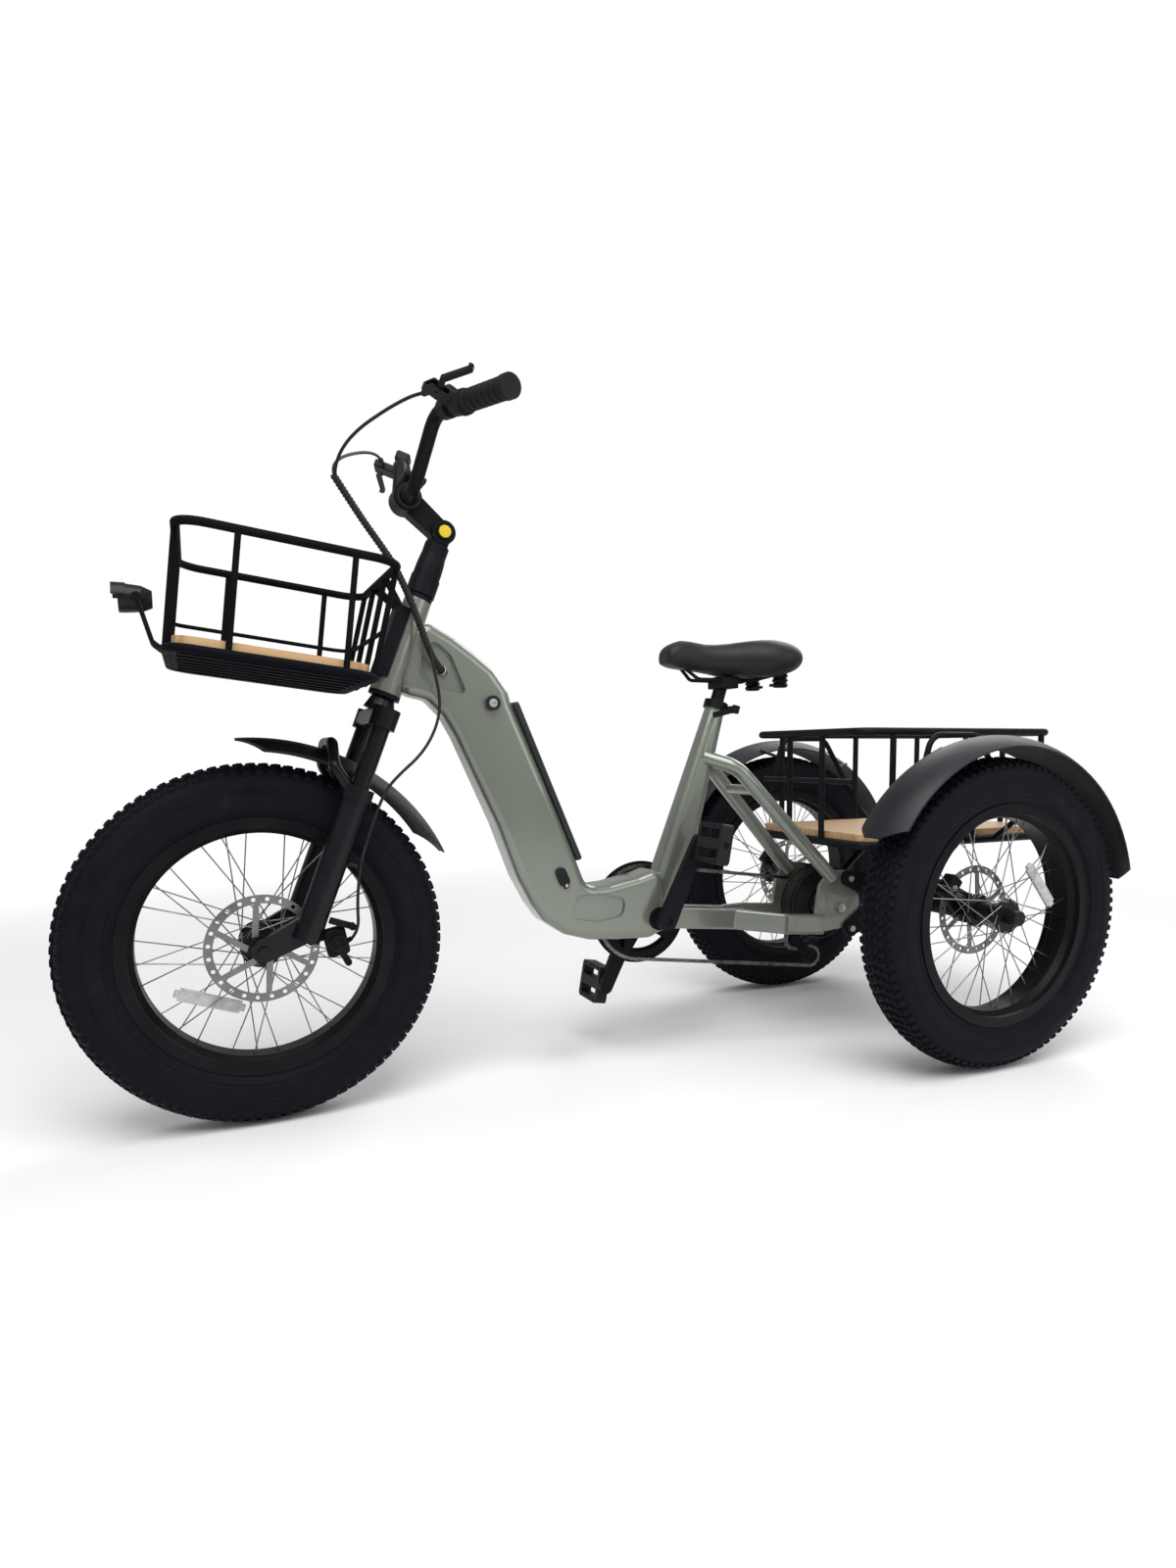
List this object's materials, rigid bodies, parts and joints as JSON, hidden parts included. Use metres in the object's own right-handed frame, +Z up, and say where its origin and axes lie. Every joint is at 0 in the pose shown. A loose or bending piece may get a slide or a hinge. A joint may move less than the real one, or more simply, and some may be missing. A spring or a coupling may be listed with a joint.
{
  "type": "cargo tricycle",
  "caption": "Fat-tyre electric cargo tricycle with a low step-through frame, sprung front fork, front basket, rear deck rack, fenders and a chain-driven rear axle.",
  "frame": {"origin": "on the ground under the middle of the tricycle's length and width", "axes": "+X forward to the front wheel, +Y to the rider's left, +Z up"},
  "size_m": [1.9319, 0.85, 1.1764],
  "materials": {
    "tyre": "matte black rubber",
    "rim_black": "satin black",
    "spoke_steel": "bright",
    "hub_black": "satin black",
    "black_metal": "satin black powder coat",
    "frame_paint": "glossy metallic sage green",
    "fender_plastic": "matte charcoal",
    "black_plastic": "matte black",
    "grip_rubber": "matte",
    "wood": "light brown varnished ply",
    "bright_steel": "bright",
    "chain_steel": "oiled",
    "motor_alloy": "satin",
    "saddle_cover": "grained vinyl",
    "lamp_shell": "gloss black",
    "cable_black": "matte"
  },
  "bodies": {
    "frame": {"main_frame": "frame_paint", "side_fittings": "black_plastic", "bearing_cups": "bright_steel", "rear_stays": "frame_paint", "axle_housing": "black_metal", "axle_hardware": "bright_steel", "derailleur": "black_metal", "rack_frame": "black_metal", "rack_deck": "wood", "rear_fenders": "fender_plastic", "rear_calipers": "black_metal", "basket_frame": "black_metal", "basket_deck": "wood", "basket_brackets": "black_metal", "seat_collar": "black_metal", "cable_bundle": "cable_black", "drive_chain": "chain_steel", "axle_chain": "chain_steel"},
    "steering": {"fork_crown": "black_metal", "stem_post": "black_metal", "brake_cable": "cable_black"},
    "bar": {"stem_head": "black_metal", "handlebar": "black_metal", "grips": "grip_rubber", "bar_controls": "black_plastic", "control_cables": "cable_black"},
    "lever_left": {"lever_left": "black_metal"},
    "lever_right": {"lever_right": "black_metal"},
    "slider": {"fork_lowers": "black_metal", "front_fender": "fender_plastic", "front_caliper": "black_metal"},
    "front_wheel": {"front_tyre": "tyre", "front_rim": "rim_black", "front_spokes": "spoke_steel", "front_hub": "hub_black"},
    "left_wheel": {"left_tyre": "tyre", "left_rim": "rim_black", "left_spokes": "spoke_steel", "left_hub": "hub_black"},
    "right_wheel": {"right_tyre": "tyre", "right_rim": "rim_black", "right_spokes": "spoke_steel", "right_hub": "hub_black"},
    "crank": {"crank_arms": "black_metal", "chainring": "bright_steel"},
    "pedal_left": {"pedal_left": "black_plastic"},
    "pedal_right": {"pedal_right": "black_plastic"},
    "cassette": {"cassette": "bright_steel"},
    "jockey_upper": {"jockey_upper": "bright_steel"},
    "jockey_lower": {"jockey_lower": "bright_steel"},
    "motor": {"motor_shell": "motor_alloy"},
    "differential": {"differential": "bright_steel"},
    "battery": {"battery": "black_plastic"},
    "key_barrel": {"key_barrel": "bright_steel"},
    "charge_flap": {"charge_flap": "black_plastic"},
    "seat": {"seat_post": "black_metal", "saddle_frame": "black_metal", "saddle": "saddle_cover"},
    "collar_lever": {"collar_lever": "black_metal"},
    "headlight": {"headlight": "lamp_shell"}
  },
  "joints": [
    {"name": "steering_turn", "type": "hinge", "parent": "frame", "child": "steering", "pos_m": [0.61559, 0, 0.28065], "axis": [-0.3584, 0, 0.9336], "range_deg": [-45, 45], "deforming": ["cable_bundle", "brake_cable"]},
    {"name": "stem_tilt", "type": "hinge", "parent": "steering", "child": "bar", "pos_m": [0.34251, 0, 0.99204], "axis": [0, 1, 0], "range_deg": [-20, 15], "deforming": ["control_cables"]},
    {"name": "lever_left_pull", "type": "hinge", "parent": "bar", "child": "lever_left", "pos_m": [0.39691, 0.21795, 1.15353], "axis": [-0.3609, 0.0095, 0.9326], "range_deg": [0, 12], "stiffness_Nm_per_rad": 1.2, "springref_deg": -11.46},
    {"name": "lever_right_pull", "type": "hinge", "parent": "bar", "child": "lever_right", "pos_m": [0.39691, -0.21795, 1.15353], "axis": [0.3609, 0.0095, -0.9326], "range_deg": [0, 12], "stiffness_Nm_per_rad": 1.2, "springref_deg": -11.46},
    {"name": "fork_travel", "type": "slide", "parent": "steering", "child": "slider", "axis": [-0.3584, 0, 0.9336], "range_m": [0, 0.06], "stiffness_N_per_m": 9000, "springref_m": -0.04, "deforming": ["brake_cable"]},
    {"name": "front_wheel_spin", "type": "hinge", "parent": "slider", "child": "front_wheel", "pos_m": [0.666, 0, 0.3], "axis": [0, 1, 0], "continuous": true},
    {"name": "left_wheel_spin", "type": "hinge", "parent": "frame", "child": "left_wheel", "pos_m": [-0.618, 0, 0.3], "axis": [0, 1, 0], "continuous": true},
    {"name": "right_wheel_spin", "type": "hinge", "parent": "frame", "child": "right_wheel", "pos_m": [-0.618, 0, 0.3], "axis": [0, 1, 0], "continuous": true},
    {"name": "crank_spin", "type": "hinge", "parent": "frame", "child": "crank", "pos_m": [-0.063, 0, 0.285], "axis": [0, 1, 0], "continuous": true, "deforming": ["drive_chain"]},
    {"name": "pedal_left_spin", "type": "hinge", "parent": "crank", "child": "pedal_left", "pos_m": [-0.13484, 0, 0.43907], "axis": [0, 1, 0], "continuous": true},
    {"name": "pedal_right_spin", "type": "hinge", "parent": "crank", "child": "pedal_right", "pos_m": [0.00885, 0, 0.13093], "axis": [0, 1, 0], "continuous": true},
    {"name": "cassette_spin", "type": "hinge", "parent": "frame", "child": "cassette", "pos_m": [-0.46742, 0, 0.283], "axis": [0, 1, 0], "continuous": true},
    {"name": "jockey_upper_spin", "type": "hinge", "parent": "frame", "child": "jockey_upper", "pos_m": [-0.44567, 0, 0.1931], "axis": [0, 1, 0], "continuous": true},
    {"name": "jockey_lower_spin", "type": "hinge", "parent": "frame", "child": "jockey_lower", "pos_m": [-0.49093, 0, 0.1496], "axis": [0, 1, 0], "continuous": true},
    {"name": "motor_spin", "type": "hinge", "parent": "frame", "child": "motor", "pos_m": [-0.46742, 0, 0.283], "axis": [0, 1, 0], "continuous": true, "deforming": ["axle_chain"]},
    {"name": "differential_spin", "type": "hinge", "parent": "frame", "child": "differential", "pos_m": [-0.618, 0, 0.3], "axis": [0, 1, 0], "continuous": true},
    {"name": "battery_lift", "type": "slide", "parent": "frame", "child": "battery", "axis": [-0.9244, 0, 0.3813], "range_m": [0, 0.095]},
    {"name": "key_turn", "type": "hinge", "parent": "frame", "child": "key_barrel", "pos_m": [0.26797, 0.039, 0.70128], "axis": [0, 1, 0], "range_deg": [0, 90]},
    {"name": "flap_swing", "type": "hinge", "parent": "frame", "child": "charge_flap", "pos_m": [0.13306, 0.0418, 0.36136], "axis": [-0.9244, 0, 0.3813], "range_deg": [0, 110]},
    {"name": "seat_height", "type": "slide", "parent": "frame", "child": "seat", "axis": [-0.304, 0, 0.9527], "range_m": [0, 0.15]},
    {"name": "clamp_lever_swing", "type": "hinge", "parent": "frame", "child": "collar_lever", "pos_m": [-0.23911, 0.03416, 0.69754], "axis": [-0.304, 0, 0.9527], "range_deg": [0, 150]},
    {"name": "lamp_tilt", "type": "hinge", "parent": "frame", "child": "headlight", "pos_m": [0.817, 0, 0.852], "axis": [0, 1, 0], "range_deg": [-20, 20]}
  ],
  "couplings": [
    {"joint": "cassette_spin", "follows": "crank_spin", "ratio": 2.1818},
    {"joint": "jockey_upper_spin", "follows": "crank_spin", "ratio": -4.3636},
    {"joint": "jockey_lower_spin", "follows": "crank_spin", "ratio": 4.3636},
    {"joint": "differential_spin", "follows": "motor_spin", "ratio": 0.66667}
  ]
}
